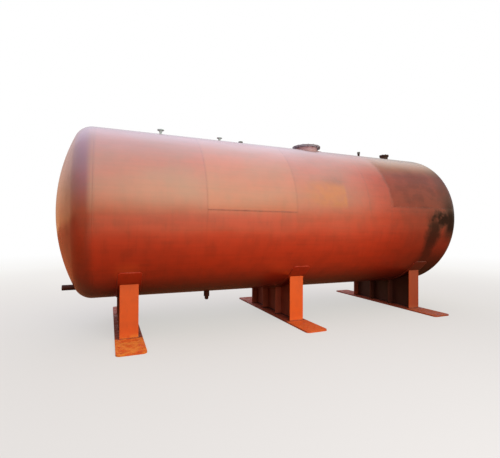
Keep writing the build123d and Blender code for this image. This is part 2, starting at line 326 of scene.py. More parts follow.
def spray_and_shade_coats(tree, at, dirt_and_shade, mottled):
    """Spray passes, mottling and runs in the primer itself, and painted shade that darkens the underside."""
    passes = patches(tree, at.coordinates, 45, 0.35, 0.75, (24, 1, 1), 3.0)
    runs = patches(tree, at.coordinates, 45, 0.5, 0.8, (1, 12, 12), 2.0)
    return [
        (dirt_and_shade, passes, 0.14),
        (dirt_and_shade, mottled, 0.18),
        (dirt_and_shade, runs, rise(tree, at.height, 0.7, -0.3), 0.12),
        # Painted shade: darker towards the underside
        (dirt_and_shade, rise(tree, at.height, -0.6, -0.95), 0.75),
    ]


def weather_and_sheen_coats(tree, at, paint):
    """Chalky weathering on the upper side, which is partly a painted sky sheen, and a paler patch of it on
    the first course.
    """
    cloudy = ranged(tree, patches(tree, at.coordinates, 420, 0.3, 0.68, (2, 1, 1)), 0.4, 0.66)
    less = ranged(tree, rise(tree, at.along, 0.6, 1.7), 1.0, 0.45)
    wide, high = between(tree, at.along, -2.9, -1.82, 0.35), between(tree, at.height, 0.08, 0.42, 0.14)
    return [
        (paint.bloom_and_sky_sheen, rise(tree, at.height, -0.3, 0.26), cloudy, less),
        (paint.beige_dust_and_sky_sheen, wide, high, at.front, 0.14),
    ]


def dirt_and_shade_coats(tree, at, dirt_and_shade, film_and_shade):
    """Dirt beside the seams, painted shade on the knuckles and towards the left end, and the film of dirt and
    painted shade towards the right end.
    """
    left_end, right_end = SEAMS[0], SEAMS[-1]
    left_knuckle = between(tree, at.along, left_end - 0.38, left_end - 0.02, 0.07)
    right_knuckle = rise(tree, at.along, right_end, right_end + 0.1)
    left_share = ranged(tree, rise(tree, at.height, -0.3, 0.0), 0.07, 0.14)
    return [
        (dirt_and_shade, seam_mask(tree, at.along), rise(tree, at.height, -0.3, 0.2), 0.12),
        # Painted shade on the knuckles and towards the left end
        (dirt_and_shade, larger(tree, left_knuckle, right_knuckle), 0.42),
        (dirt_and_shade, rise(tree, at.along, -1.4, -2.7), left_share),
        # Dirt and painted shade towards the right end
        (dirt_and_shade, film_and_shade, 0.8),
    ]


def end_coats(tree, at, paint, stain_and_shadow):
    """The stain and painted shadow near the right end, blotched with black, and painted shade over the upper
    front of the end itself.
    """
    blotched = patches(tree, at.coordinates, 260, 0.42, 0.6, detail=5.0)
    edge = between(tree, at.along, 3.2, 3.56, 0.22)
    return [
        (paint.shell_stain_and_shadow, stain_and_shadow, ranged(tree, blotched, 0.3, 0.6)),
        (paint.soot_and_shade, stain_and_shadow, ranged(tree, blotched, 0.28, 0.0)),
        # Painted shade over the upper front of the right head
        (paint.soot_and_shade, edge, between(tree, at.height, 0.1, 0.85, 0.15), at.front, 0.5),
    ]


def crown_dust_and_sheen_coat(tree, at, paint):
    """Dust along the crown, and a painted sky sheen there: lilac, and beige and thicker at the right end, and
    thin right of the manhole.
    """
    colour = coats(tree, paint.lilac_bloom_and_sky_sheen, (paint.beige_dust_and_sky_sheen, rise(tree, at.along, -0.8, 1.8)))
    foot = ranged(tree, rise(tree, at.along, 1.4, 2.6), 0.5, 0.58)
    share = ranged(tree, rise(tree, at.along, 1.4, 2.4), 0.42, 0.95)
    thin = ranged(tree, between(tree, at.along, 0.1, 0.75, 0.25), 1.0, 0.65)
    return colour, rise(tree, at.height, foot, 0.97), share, thin


def ochre_mask(tree, at):
    """A patch of old yellowish dust on the third course, right of the manhole."""
    return times(
        tree, between(tree, at.along, SEAMS[2], 0.77, 0.03), between(tree, at.height, 0.1, 0.4, 0.06),
        at.front, ranged(tree, patches(tree, at.coordinates, 150, 0.25, 0.6), 0.4, 1.0),
        ranged(tree, rise(tree, at.along, -0.2, 0.4), 0.25, 1.0),
    )


def film_and_shade_mask(tree, at):
    """A film of dirt and painted shade that thickens towards the right end and stays off the crown."""
    low_share = ranged(tree, rise(tree, at.height, 0.35, -0.5), 0.75, 0.65)
    return times(tree, rise(tree, at.along, 1.0, 2.8), low_share, at.front, rise(tree, at.height, 0.89, 0.62))


def stain_and_shadow_mask(tree, at):
    """Stained primer and a painted shadow on the last course and right head, with straight edges below and to
    the left.
    """
    wavy = plus(tree, patches(tree, at.coordinates, 120, 0.3, 0.7), 0.04, at.along)
    start = plus(tree, times(tree, rise(tree, at.height, 0.25, 0.8), 0.12), -1.0, 1.8)
    edge = rise(tree, wavy, start, 1.86)
    return times(tree, edge, at.front, rise(tree, at.height, 0.1, 0.14), rise(tree, at.height, 0.94, 0.68))


def soot_and_shade_mask(tree, at):
    """A ragged black patch at mid height on the right end, and painted shade in the run below it, along the
    end's rim and in a foot under both.
    """
    ragged = cloud(tree, at.coordinates, 200, roughness=0.6)
    centre, half_width = 3.12, 0.3
    middle, half_height = -0.03, 0.12
    side = plus(tree, at.along, 1 / half_width, -centre / half_width)
    up = plus(tree, at.height, 1 / half_height, -middle / half_height)
    reach = plus(tree, side, side, times(tree, up, up))
    patch = rise(tree, plus(tree, ragged, 4.5, reach), 4.3, 2.2)
    rim = times(tree, between(tree, at.along, 3.22, 3.56, 0.1), between(tree, at.height, -0.3, 0.18, 0.16))
    shifted = plus(tree, ragged, 0.3, at.along)
    run = times(
        tree, between(tree, shifted, 2.9, 3.24, 0.1), between(tree, at.height, -0.92, 0.02, 0.14),
        ranged(tree, rise(tree, at.height, -0.8, -0.1), 0.65, 0.93),
    )
    foot = times(tree, rise(tree, shifted, 2.7, 3.0), rise(tree, at.height, -0.3, -0.75), 0.8)
    return times(tree, larger(tree, patch, rim, run, foot), rise(tree, at.across, 0.1, -0.5))


def seam_mask(tree, along):
    """Narrow bands along the ring seams, where dirt holds beside the beads."""
    nearest = 1.0
    for seam in SEAMS:
        away = maths(tree, "ABSOLUTE", maths(tree, "ADD", along, -seam))
        nearest = maths(tree, "MINIMUM", away, nearest)
    return rise(tree, nearest, 0.03, 0.008)


# The smooth normals are bent inside these distances from the axis, at the heads' tips
TIP_OUTER, TIP_INNER = 0.085, 0.076


def tip_normal(tree, across, up):
    """The surface's normal, blended into the facets' own one at the tips of the heads."""
    surface = node(tree, "ShaderNodeNewGeometry").outputs
    away_squared = plus(tree, across, across, times(tree, up, up))
    tip = rise(tree, away_squared, TIP_OUTER ** 2, TIP_INNER ** 2)
    sockets = {0: tip, 4: surface["Normal"], 5: surface["True Normal"]}
    return node(tree, "ShaderNodeMix", sockets, data_type="VECTOR").outputs[1]


def shell_primer(name, paint):
    """Red oxide primer, sprayed and then chalked by sun and dust.

    Its clear gloss mirrors the sky and the ground in soft, level bands, and the stained and shaded patch, the
    soot and the film of dirt and shade near the right end are matt. Its colour carries painted light too: a
    painted sky sheen in the bloom and the crown dust, and painted shade underneath, on the knuckles, towards
    both ends and in the stain, the soot and the film.
    """
    tree, coordinates, parts = new_material(name)
    along, across = parts[:2]
    height = shell_height(tree, parts[2])
    front = rise(tree, plus(tree, cloud(tree, coordinates, 769), 1.8, across), 1.3, 0.5)
    at = Place(coordinates, along, across, height, front)
    mottled = patches(tree, coordinates, 170, 0.38, 0.7, (1, 1, 1.4), 5.0)
    ochre, film_and_shade = ochre_mask(tree, at), film_and_shade_mask(tree, at)
    stain_and_shadow, soot_and_shade = stain_and_shadow_mask(tree, at), soot_and_shade_mask(tree, at)

    # The second course's upper plate is paler, with dirt in the long seam below it, and a small darker spot
    # lies at the corner of the ochre patch
    second_course = between(tree, along, SEAMS[1], SEAMS[2], 0.01)
    line = times(tree, second_course, between(tree, height, 0.004, 0.022, 0.008))
    spot = times(tree, between(tree, along, 0.4, 0.8, 0.2), between(tree, height, 0.39, 0.48, 0.06), 1.2)

    colour = coats(
        tree, paint.shell,
        *spray_and_shade_coats(tree, at, paint.shell_dirt_and_shade, mottled),
        *weather_and_sheen_coats(tree, at, paint),
        (paint.shell_ochre, second_course, rise(tree, height, 0.016, 0.03), front, 0.1),
        (paint.shell_ochre, ochre, 0.42),
        *dirt_and_shade_coats(tree, at, paint.shell_dirt_and_shade, film_and_shade),
        (paint.shell_dirt_and_shade, larger(tree, line, spot), ranged(tree, mottled, 0.3, 0.5), front),
        *end_coats(tree, at, paint, stain_and_shadow),
        # Dust and painted sky sheen along the crown
        crown_dust_and_sheen_coat(tree, at, paint),
        # Black patch and painted shade at the right end
        (paint.soot_and_shade, soot_and_shade, 0.96),
    )

    # The clear gloss thins on whatever has weathered, and on the dull right end
    dull_end = times(tree, rise(tree, along, 0.5, 2.1), front, rise(tree, height, 0.9, 0.5), 0.75)
    worn = larger(
        tree, times(tree, stain_and_shadow, 0.92), soot_and_shade, times(tree, film_and_shade, 0.85), dull_end, times(tree, ochre, 0.35),
    )
    roughness = ranged(tree, patches(tree, coordinates, 300, 0.35, 0.8, (3, 1, 1)), 0.4, 0.58)

    # The plates' own waves, and orange peel, which is drawn coarser than the real one so that it shows
    waves = cloud(tree, coordinates, 588, detail=1.0, roughness=0.4)
    peel = cloud(tree, coordinates, 6.25, detail=2.0)
    gloss = {
        "IOR": 1.3, "Specular IOR Level": ranged(tree, soot_and_shade, 0.5, 0.1),
        "Coat Weight": ranged(tree, worn, 1.0, 0.06), "Coat Roughness": 0.2, "Coat IOR": 1.8,
    }
    under = tip_normal(tree, across, times(tree, height, SHELL_RADIUS))
    finish_material(tree, colour, roughness, plus(tree, peel, 0.012, waves), 14, gloss, under)


def plate_primer(name, fresh, dirt_and_shade, dust, gloss):
    """Brushed primer on cut plate: satin, so it shows its own colour and no reflections.

    It is darker where it is handled, and dusty low down. Painted shade darkens it towards both ends, most at
    the right, on the base plates past the left saddle and, darkest, on the base plates behind the front end
    plates.
    """
    tree, coordinates, parts = new_material(name)
    along, across, up = parts[:3]
    low_down = times(tree, rise(tree, up, 0.12, 0.02), patches(tree, coordinates, 90, 0.35, 0.6))
    base_plates = rise(tree, up, 0.06, 0.03)
    past_left = rise(tree, along, -2.2, -0.6)
    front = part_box("left_saddle_front_end_plate")[1].y
    colour = coats(
        tree, fresh,
        (dirt_and_shade, patches(tree, coordinates, 180, 0.45, 0.7), 0.16),
        (dirt_and_shade, patches(tree, coordinates, 28, 0.6, 0.72, (1, 1, 5)), 0.2),
        # Painted shade at the right end and, faintly, towards the left end
        (dirt_and_shade, rise(tree, along, 2.4, 2.9), 0.85),
        (dirt_and_shade, rise(tree, along, 0.0, -2.6), 0.1),
        (dust, low_down, ranged(tree, past_left, 0.42, 0.1)),
        # Painted shade on the base plates, past the left saddle and behind the front end plates
        (dirt_and_shade, base_plates, past_left, 0.14),
        (dirt_and_shade, base_plates, rise(tree, across, front - 0.03, front), 0.93),
    )
    finish_material(tree, colour, ranged(tree, low_down, gloss, 0.85), cloud(tree, coordinates, 11.1), 0.6)


def wear_plate_primer(name, paint):
    """Shell primer on the wear plates: dirty, duller than on the shell, and darkened with painted shade low
    down and at the right end, as they lie in its shade.
    """
    tree, coordinates, parts = new_material(name)
    height = shell_height(tree, parts[2])
    colour = coats(
        tree, paint.shell,
        (paint.shell_dirt_and_shade, patches(tree, coordinates, 120, 0.4, 0.7), 0.25),
        # Painted shade low down and at the right end
        (paint.shell_dirt_and_shade, ranged(tree, rise(tree, height, -0.64, -0.95), 0.12, 0.75)),
        (paint.soot_and_shade, rise(tree, parts[0], 2.2, 2.9), 0.7),
    )
    gloss = {"IOR": 1.4, "Coat Weight": 0.35, "Coat Roughness": 0.3, "Coat IOR": 1.5}
    finish_material(tree, colour, 0.5, cloud(tree, coordinates, 8.33), 0.5, gloss)


def back_plate_primer(name, paint):
    """Primer of the back end plates: bright outside, and darkened inside to the webs' colour as painted
    shade.
    """
    tree, coordinates, parts = new_material(name)
    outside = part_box("left_saddle_back_end_plate")[1].y
    colour = coats(
        tree, paint.saddle,
        (paint.web, patches(tree, coordinates, 180, 0.45, 0.7), 0.16),
        # Painted shade on the inner faces
        (paint.web, rise(tree, parts[1], outside - 0.002, outside - 0.006)),
    )
    finish_material(tree, colour, 0.5, cloud(tree, coordinates, 11.1), 0.6)


def flange_primer(name, paint):
    """Grey primer on the manhole flange: matt, and pale underneath with painted light, where the shell's
    crown below lights it.
    """
    tree, coordinates, parts = new_material(name)
    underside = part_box("manhole_flange")[0].z
    colour = coats(
        tree, paint.manhole,
        # Painted light under the flange
        (paint.manhole_under_light, rise(tree, parts[2], underside + 0.004, underside + 0.002)),
        (paint.rust, patches(tree, coordinates, 40, 0.45, 0.7), 0.12),
    )
    finish_material(tree, colour, 0.6, cloud(tree, coordinates, 4.55, detail=5.0), 0.4)


def rusty_paint(name, base, rust, metal=0.0, gloss=0.5, share=0.0, low_shade=None):
    """Old paint or zinc on small steel fittings, broken by rust spots that are rough and throw no glint.

    The low ones may be darkened with painted shade, in the tank's dark dirt colour.
    """
    tree, coordinates, parts = new_material(name)
    spots = patches(tree, coordinates, 22, 0.62 - share, 0.7 - share / 2, detail=6.0)
    # Painted shade on the low fittings
    low_shades = [(low_shade, rise(tree, parts[2], 2.0, 1.2), 0.85)] if low_shade else []
    colour = coats(tree, base, *low_shades, (rust, spots))
    relief = cloud(tree, coordinates, 4.55, detail=5.0)
    more = {"Metallic": metal, "Specular IOR Level": 0.2 if low_shade else 0.5}
    finish_material(tree, colour, ranged(tree, spots, gloss, 0.85), relief, 0.5, more)


def rubber(name, base, chalked):
    """Moulded black rubber: matt with a fine grain, so it shows as one dark line under the cover."""
    tree, coordinates, parts = new_material(name)
    colour = coats(tree, base, (chalked, patches(tree, coordinates, 15, 0.45, 0.7), 0.4))
    finish_material(tree, colour, 0.8, cloud(tree, coordinates, 2.5, detail=2.0), 0.2, {"IOR": 1.52})


def weld_primer(name, paint):
    """Primer over the fillet welds: darker and duller than on the plate, as dirt stays in their ripples.

    It takes on the shell's weathering and crown dust with height, with their painted sky sheen, and painted
    shade underneath, so that a bead doesn't stand out.
    """
    tree, coordinates, parts = new_material(name)
    height = shell_height(tree, parts[2])
    colour = coats(
        tree, paint.weld,
        # Painted sky sheen with height, and painted shade underneath
        (paint.bloom_and_sky_sheen, rise(tree, height, -0.1, 0.6), 0.5),
        (paint.lilac_bloom_and_sky_sheen, rise(tree, height, 0.5, 0.97), 0.5),
        (paint.shell_dirt_and_shade, patches(tree, coordinates, 60, 0.35, 0.7), 0.2),
        (paint.shell_dirt_and_shade, rise(tree, height, -0.6, -0.95), 0.7),
    )
    gloss = {"IOR": 1.4, "Coat Weight": 0.8, "Coat Roughness": 0.3, "Coat IOR": 1.7}
    finish_material(tree, colour, 0.5, cloud(tree, coordinates, 4.17), 0.5, gloss)


class TANK_OT_paint(bpy.types.Operator):
    """Make the paints and give each solid of the tank its own."""

    bl_idname = "tank.paint"
    bl_label = "Paint the solids"

    def execute(self, context):
        paint = context.scene.tank_paint
        shell_primer("shell_primer", paint)
        plate_primer("saddle_primer", paint.saddle, paint.web, paint.dust, 0.42)
        # The webs take their dark colour as painted shade, with more painted shade at the right end
        plate_primer("saddle_web_primer", paint.web, paint.soot_and_shade, paint.web, 0.6)
        back_plate_primer("back_plate_primer", paint)
        wear_plate_primer("wear_plate_primer", paint)
        weld_primer("weld_primer", paint)
        flange_primer("manhole_flange_primer", paint)
        rubber("gasket", paint.gasket, paint.gasket_chalk)
        rusty_paint("neck_primer", paint.neck, paint.shell, gloss=0.55)
        rusty_paint("manhole_steel", paint.manhole, paint.rust)
        rusty_paint("grey_fitting", paint.grey_fitting, paint.rust)
        rusty_paint("dark_fitting", paint.dark_fitting, paint.rust, gloss=0.55, low_shade=paint.shell_dirt_and_shade)
        rusty_paint("cap_paint", paint.cap, paint.rust, share=0.02)
        rusty_paint("bolt_zinc", paint.bolt, paint.rust, metal=1.0, share=0.04)
        special = {
            "manhole_flange": "manhole_flange_primer",
            "manhole_neck": "neck_primer",
            "crown_coupling_plug": "cap_paint",
            "stub_cap": "cap_paint",
            **{f"{side}_back_end_plate": "back_plate_primer" for side in SADDLES},
            **{f"{side}_wear_plate": "wear_plate_primer" for side in SADDLES},
        }
        for part in frame["record"]["subparts"]:
            materials = frame["nodes"][part["node"]].data.materials
            materials.clear()
            materials.append(bpy.data.materials[special.get(part["node"], part["material_slot"])])
        return {"FINISHED"}


def finished(name, mesh):
    """Turn a finished bmesh into mesh data."""
    data = bpy.data.meshes.new(name)
    mesh.to_mesh(data)
    mesh.free()
    return data


def put(name, data):
    """Put mesh data, a light or a camera in the scene as an object."""
    made = bpy.data.objects.new(name, data)
    bpy.context.scene.collection.objects.link(made)
    return made


def add_piece(name, mesh, slot, material=None, smooth=True):
    """Turn a finished bmesh into a piece that rides on the tank's body, in its slot's paint or another."""
    bmesh.ops.recalc_face_normals(mesh, faces=mesh.faces)
    for face in mesh.faces:
        face.smooth = smooth
    piece = put(name, finished(name, mesh))
    piece.data.materials.append(bpy.data.materials[material or slot])
    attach(piece, "root")


def move(mesh, x, y, z):
    """Move a whole mesh."""
    bmesh.ops.translate(mesh, verts=mesh.verts, vec=(x, y, z))


# Seeds the waver of the welds and the turn of each bolt
SEED = 7
# How far a seam's bead reaches into the plate below it
BEAD_SUNK = 0.001
# How far the weld metal strays, and over what length
SEAM_WAVER = (0.0006, 0.05)
PIPE_WAVER = (0.0008, 0.03)
PLATE_WAVER = (0.0007, 0.03)


def outline(mesh, points):
    """The edges of a closed section, from its points in order."""
    verts = [mesh.verts.new(point) for point in points]
    return [mesh.edges.new(pair) for pair in zip(verts, verts[1:] + verts[:1])]


def bead_section(mesh, width, height, points=7):
    """A closed low dome in the XZ plane that stands up by its height, its flat side sunk below zero."""
    dome = []
    for i in range(points):
        angle = math.pi * i / (points - 1)
        up = math.sin(angle) * (height + BEAD_SUNK) - BEAD_SUNK
        dome.append((-math.cos(angle) * width / 2, 0, up))
    return outline(mesh, dome)


def fillet_corners(belly):
    """The corners of a fillet's section, in legs out and up from the corner that it fills.

    The belly is the point between the two legs' ends, and the back lies inside both plates.
    """
    root = -0.3
    return [(root, root), (1, root), (1, 0), belly, (0, 1), (root, 1)]


def sweep_ring(mesh, edges, centre, axis, steps):
    """Spin a section about an axis to a closed ring."""
    verts = [edge.verts[0] for edge in edges]
    bmesh.ops.spin(
        mesh, geom=edges + verts, cent=centre, axis=axis, angle=2 * math.pi, steps=steps, use_merge=True,
    )


def pull(mesh, face, step, steps):
    """Extrude a face along a straight line in equal steps."""
    faces = [face]
    for _ in range(steps):
        grown = bmesh.ops.extrude_face_region(mesh, geom=faces)["geom"]
        faces = [g for g in grown if isinstance(g, bmesh.types.BMFace)]
        moved = [g for g in grown if isinstance(g, bmesh.types.BMVert)]
        bmesh.ops.translate(mesh, verts=moved, vec=step)


def roughen(mesh, amount, size, shift):
    """Push each vertex a little, as hand-laid weld metal is never even; shift tells welds apart."""
    noise.seed_set(SEED)
    for vert in mesh.verts:
        vert.co += noise.noise_vector(vert.co / size + Vector((shift, 0, 0))) * amount


class TANK_OT_ring_seams(bpy.types.Operator):
    """Lay the weld beads round the shell, between its courses and at its heads."""

    bl_idname = "tank.ring_seams"
    bl_label = "Ring seams"

    def execute(self, context):
        weld = context.scene.tank_weld
        for number, seam in enumerate(SEAMS, start=1):
            mesh = bmesh.new()
            edges = bead_section(mesh, weld.seam_width, weld.seam_height)
            move(mesh, seam, 0, CROWN_HEIGHT)
            sweep_ring(mesh, edges, (seam, 0, AXIS_HEIGHT), (1, 0, 0), weld.steps)
            roughen(mesh, *SEAM_WAVER, number)
            add_piece(f"ring_seam_{number}", mesh, "shell_primer")
        return {"FINISHED"}


# Where each course's long seam lies, as degrees up from the front, and past 90 on the back
LONG_SEAM_ANGLES = (148, 0.9, 160, 128, 7.5)
# About how long each step of a long seam and of a straight fillet is
LONG_SEAM_STEP = 0.03
PLATE_WELD_STEP = 0.04


class TANK_OT_long_seams(bpy.types.Operator):
    """Lay the weld bead that closes each course, staggered from course to course."""

    bl_idname = "tank.long_seams"
    bl_label = "Long seams"

    def execute(self, context):
        weld = context.scene.tank_weld
        for number, (name, degrees) in enumerate(zip(COURSES, LONG_SEAM_ANGLES), start=1):
            low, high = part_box(name)
            mesh = bmesh.new()
            edges = bead_section(mesh, weld.seam_width, weld.seam_height)
            bmesh.ops.rotate(mesh, verts=mesh.verts, matrix=Matrix.Rotation(math.pi / 2, 3, "Z"))
            move(mesh, low.x, 0, 0)
            face = bmesh.ops.contextual_create(mesh, geom=edges)["faces"][0]
            steps = round((high.x - low.x) / LONG_SEAM_STEP)
            pull(mesh, face, ((high.x - low.x) / steps, 0, 0), steps)
            roughen(mesh, *SEAM_WAVER, degrees)
            move(mesh, 0, 0, SHELL_RADIUS)
            turn = Matrix.Rotation(math.radians(90 - degrees), 3, "X")
            bmesh.ops.rotate(mesh, verts=mesh.verts, matrix=turn)
            move(mesh, 0, 0, AXIS_HEIGHT)
            add_piece(f"long_seam_{number}", mesh, "shell_primer")
        return {"FINISHED"}


def shell_sag(y):
    """How far the shell's surface lies below its crown at a distance y from the middle."""
    return SHELL_RADIUS - math.sqrt(SHELL_RADIUS ** 2 - y ** 2)


def pipe_weld(name, leg, slot, material=None, foot=CROWN_HEIGHT, up=1, steps=64):
    """A fillet ring round a pipe on top of the shell, or below it where up is -1."""
    low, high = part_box(name)
    radius = (high.x - low.x) / 2
    mesh = bmesh.new()
    section = outline(mesh, [(radius + x * leg, 0, z * leg) for x, z in fillet_corners((0.55, 0.45))])
    sweep_ring(mesh, section, (0, 0, 0), (0, 0, 1), steps)
    bmesh.ops.scale(mesh, verts=mesh.verts, vec=(1, 1, up))
    for vert in mesh.verts:
        vert.co.z -= up * shell_sag(vert.co.y)
    roughen(mesh, *PIPE_WAVER, high.x)
    move(mesh, (low.x + high.x) / 2, 0, foot)
    add_piece(f"{name}_weld", mesh, slot, material)


class TANK_OT_pipe_welds(bpy.types.Operator):
    """Lay the fillet welds round the manhole, its pad, the crown fittings and the drain."""

    bl_idname = "tank.pipe_welds"
    bl_label = "Pipe welds"

    def execute(self, context):
        leg = context.scene.tank_weld.fillet
        pipe_weld("manhole_neck", leg, "shell_primer", "weld_primer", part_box("manhole_pad")[1].z)
        for name in ("manhole_pad", "vent_nozzle_pipe", "gauge_nozzle_pipe"):
            pipe_weld(name, leg, "shell_primer", "weld_primer")
        for name in ("crown_coupling", "stub_pipe", "inlet_nozzle_pipe"):
            pipe_weld(name, leg, "dark_fitting")
        pipe_weld("drain_socket", leg, "dark_fitting", foot=AXIS_HEIGHT - SHELL_RADIUS, up=-1)
        return {"FINISHED"}


def plate_weld(mesh, start, end, outward, leg):
    """Add a straight fillet from start to end, in the corner between a floor and an upright wall."""
    up = Vector((0, 0, 1))
    corners = [a * leg * outward + b * leg * up for a, b in fillet_corners((0.5, 0.5))]
    face = mesh.faces.new([mesh.verts.new(start + corner) for corner in corners])
    steps = max(2, round((end - start).length / PLATE_WELD_STEP))
    pull(mesh, face, (end - start) / steps, steps)


def long_side_welds(mesh, low, high, floor, leg):
    """Fillets along the left and right faces of a box that stands on a floor."""
    for x, outward in ((low.x, Vector((-1, 0, 0))), (high.x, Vector((1, 0, 0)))):
        plate_weld(mesh, Vector((x, low.y, floor)), Vector((x, high.y, floor)), outward, leg)


class TANK_OT_saddle_welds(bpy.types.Operator):
    """Lay the fillet welds where the upright plates stand on the base plates."""

    bl_idname = "tank.saddle_welds"
    bl_label = "Saddle welds"

    def execute(self, context):
        leg = context.scene.tank_weld.fillet
        for side in SADDLES:
            mesh = bmesh.new()
            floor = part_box(f"{side}_base_plate")[1].z
            for plate in ("front_end_plate", "back_end_plate"):
                low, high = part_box(f"{side}_{plate}")
                for y, outward in ((low.y, Vector((0, -1, 0))), (high.y, Vector((0, 1, 0)))):
                    plate_weld(mesh, Vector((low.x, y, floor)), Vector((high.x, y, floor)), outward, leg)
                long_side_welds(mesh, low, high, floor, leg)
            long_side_welds(mesh, *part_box(f"{side}_web"), floor, leg)
            roughen(mesh, *PLATE_WAVER, floor)
            add_piece(f"{side}_base_welds", mesh, "saddle_web_primer")
        return {"FINISHED"}


def curved_weld(mesh, x, outward, leg, half_angle, steps=72):
    """A fillet under the shell at a curved edge of a wear plate, by equal angles to front and back."""
    axis = (0, 0, AXIS_HEIGHT)
    bottom = AXIS_HEIGHT - SHELL_RADIUS
    corners = fillet_corners((0.5, 0.5))
    verts = [mesh.verts.new((x + outward * a * leg, 0, bottom - b * leg)) for a, b in corners]
    face = mesh.faces.new(verts)
    bmesh.ops.rotate(mesh, verts=verts, cent=axis, matrix=Matrix.Rotation(-half_angle, 3, "X"))
    bmesh.ops.spin(
        mesh, geom=[face, *face.edges, *face.verts], cent=axis, axis=(1, 0, 0), angle=2 * half_angle,
        steps=steps,
    )


def top_weld(mesh, low_x, high_x, side, leg, half_angle, steps=12):
    """A fillet on the shell along the top edge of a wear plate, at its front or back."""
    angle = side * half_angle
    radial = Vector((0, math.sin(angle), -math.cos(angle)))
    upwards = Vector((0, side * math.cos(angle), abs(math.sin(angle))))
    origin = Vector((low_x, 0, AXIS_HEIGHT)) + radial * SHELL_RADIUS
    corners = [(upwards * a + radial * b) * leg for a, b in fillet_corners((0.6, 0.6))]
    face = mesh.faces.new([mesh.verts.new(origin + corner) for corner in corners])
    pull(mesh, face, ((high_x - low_x) / steps, 0, 0), steps)


class TANK_OT_wear_plate_welds(bpy.types.Operator):
    """Lay the fillet welds round the wear plates, up both curved edges and along the tops."""

    bl_idname = "tank.wear_plate_welds"
    bl_label = "Wear plate welds"

    def execute(self, context):
        weld = context.scene.tank_weld
        for side in SADDLES:
            low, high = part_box(f"{side}_wear_plate")
            half_angle = math.asin(high.y / (AXIS_HEIGHT - low.z))
            corner = weld.plate_corner
            edges, tops = bmesh.new(), bmesh.new()
            for x, outward in ((low.x, -1), (high.x, 1)):
                curved_weld(edges, x, outward, weld.fillet, half_angle - corner / SHELL_RADIUS)
            for facing in (-1, 1):
                top_weld(tops, low.x + corner, high.x - corner, facing, weld.top_fillet, half_angle)
            roughen(edges, *PLATE_WAVER, high.x)
            roughen(tops, *PLATE_WAVER, low.x)
            add_piece(f"{side}_wear_plate_edge_welds", edges, "shell_primer", "weld_primer")
            add_piece(f"{side}_wear_plate_top_welds", tops, "shell_primer", "wear_plate_primer")
        return {"FINISHED"}


def stand_cone(mesh, segments, radius, low, high):
    """An upright cylinder or prism between two heights, at the origin, as a list of its vertices."""
    made = bmesh.ops.create_cone(
        mesh, cap_ends=True, segments=segments, radius1=radius, radius2=radius, depth=high - low,
    )["verts"]
    bmesh.ops.translate(mesh, verts=made, vec=(0, 0, (low + high) / 2))
    return made


def hexagon(mesh, flats, low, high, rounding):
    """A hexagonal head or nut between two heights, its rims rounded off."""
    made = stand_cone(mesh, 6, flats / math.sqrt(3), low, high)
    level = [e for v in made for e in v.link_edges if abs(e.verts[0].co.z - e.verts[1].co.z) < 1e-6]
    rims = list(dict.fromkeys(level))
    bmesh.ops.bevel(
        mesh, geom=rims, offset=rounding, offset_type="OFFSET", segments=2, profile=0.5,
        affect="EDGES", material=-1,
    )


def bolt(washer, shank, flats, head, top, bottom):
    """A hexagon bolt through two flanges, head on top and nut below, standing at the origin."""
    nut, stub, rounding = 0.8 * shank, 0.4 * shank, head / 8
    washer_radius = 0.62 * flats
    mesh = bmesh.new()
    hexagon(mesh, flats, top + washer, top + washer + head, rounding)
    nut_foot = bottom - washer - nut
    hexagon(mesh, flats, nut_foot, bottom - washer, rounding)
    for radius, low, high in (
        (shank / 2, nut_foot - stub, top + washer),
        (washer_radius, top, top + washer),
        (washer_radius, bottom - washer, bottom),
    ):
        stand_cone(mesh, 20, radius, low, high)
    return mesh


def bolt_ring(name, upper, lower, circle, count, first, washer, shank, flats, head, slot, material=None):
    """Repeat one bolt round a circle through two nodes and join the copies in one piece."""
    low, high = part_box(upper)
    centre = Vector(((low.x + high.x) / 2, 0, 0))
    single = finished(name + "_single", bolt(washer, shank, flats, head, high.z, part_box(lower)[0].z))
    mesh = bmesh.new()
    for i in range(count):
        angle = first + 2 * math.pi * i / count
        before = len(mesh.verts)
        mesh.from_mesh(single)
        mesh.verts.ensure_lookup_table()
        added = mesh.verts[before:]
        turn = noise.random_unit_vector().x * math.pi
        bmesh.ops.rotate(mesh, verts=added, matrix=Matrix.Rotation(turn, 3, "Z"))
        place = centre + Vector((math.cos(angle), math.sin(angle), 0)) * circle / 2
        bmesh.ops.translate(mesh, verts=added, vec=place)
    bpy.data.meshes.remove(single)
    add_piece(name, mesh, slot, material, smooth=False)


class TANK_OT_bolts(bpy.types.Operator):
    """Bolt down the manhole cover and the blind flange."""

    bl_idname = "tank.bolts"
    bl_label = "Bolts"

    def execute(self, context):
        sizes = context.scene.tank_bolts
        noise.seed_set(SEED)
        bolt_ring(
            "manhole_bolts", "manhole_cover", "manhole_flange", sizes.manhole_circle, sizes.manhole_count,
            0, sizes.washer, sizes.manhole_shank, sizes.manhole_flats, sizes.manhole_head, "manhole_steel",
            "bolt_zinc",
        )
        bolt_ring(
            "blind_flange_bolts", "inlet_blind_flange", "inlet_nozzle_flange", sizes.blank_circle,
            sizes.blank_count, math.pi / sizes.blank_count, sizes.washer, sizes.blank_shank,
            sizes.blank_flats, sizes.blank_head, "dark_fitting",
        )
        return {"FINISHED"}


# Width and height of the soft panels
FRONT_PANEL = (5, 4)
BACK_PANEL = (8, 4)


class TANK_OT_studio(bpy.types.Operator):
    """Lay the pale floor, light the sky and set up the camera."""

    bl_idname = "tank.studio"
    bl_label = "Studio"

    def execute(self, context):
        studio = context.scene.tank_studio
        context.scene.view_settings.view_transform = "Standard"
        make_floor(studio)
        make_sky(context.scene, studio)
        make_panel("front_panel", studio.key_place, FRONT_PANEL, studio.key_power)
        make_panel("back_panel", studio.back_place, BACK_PANEL, studio.back_power)
        make_camera(context.scene, studio)
        return {"FINISHED"}


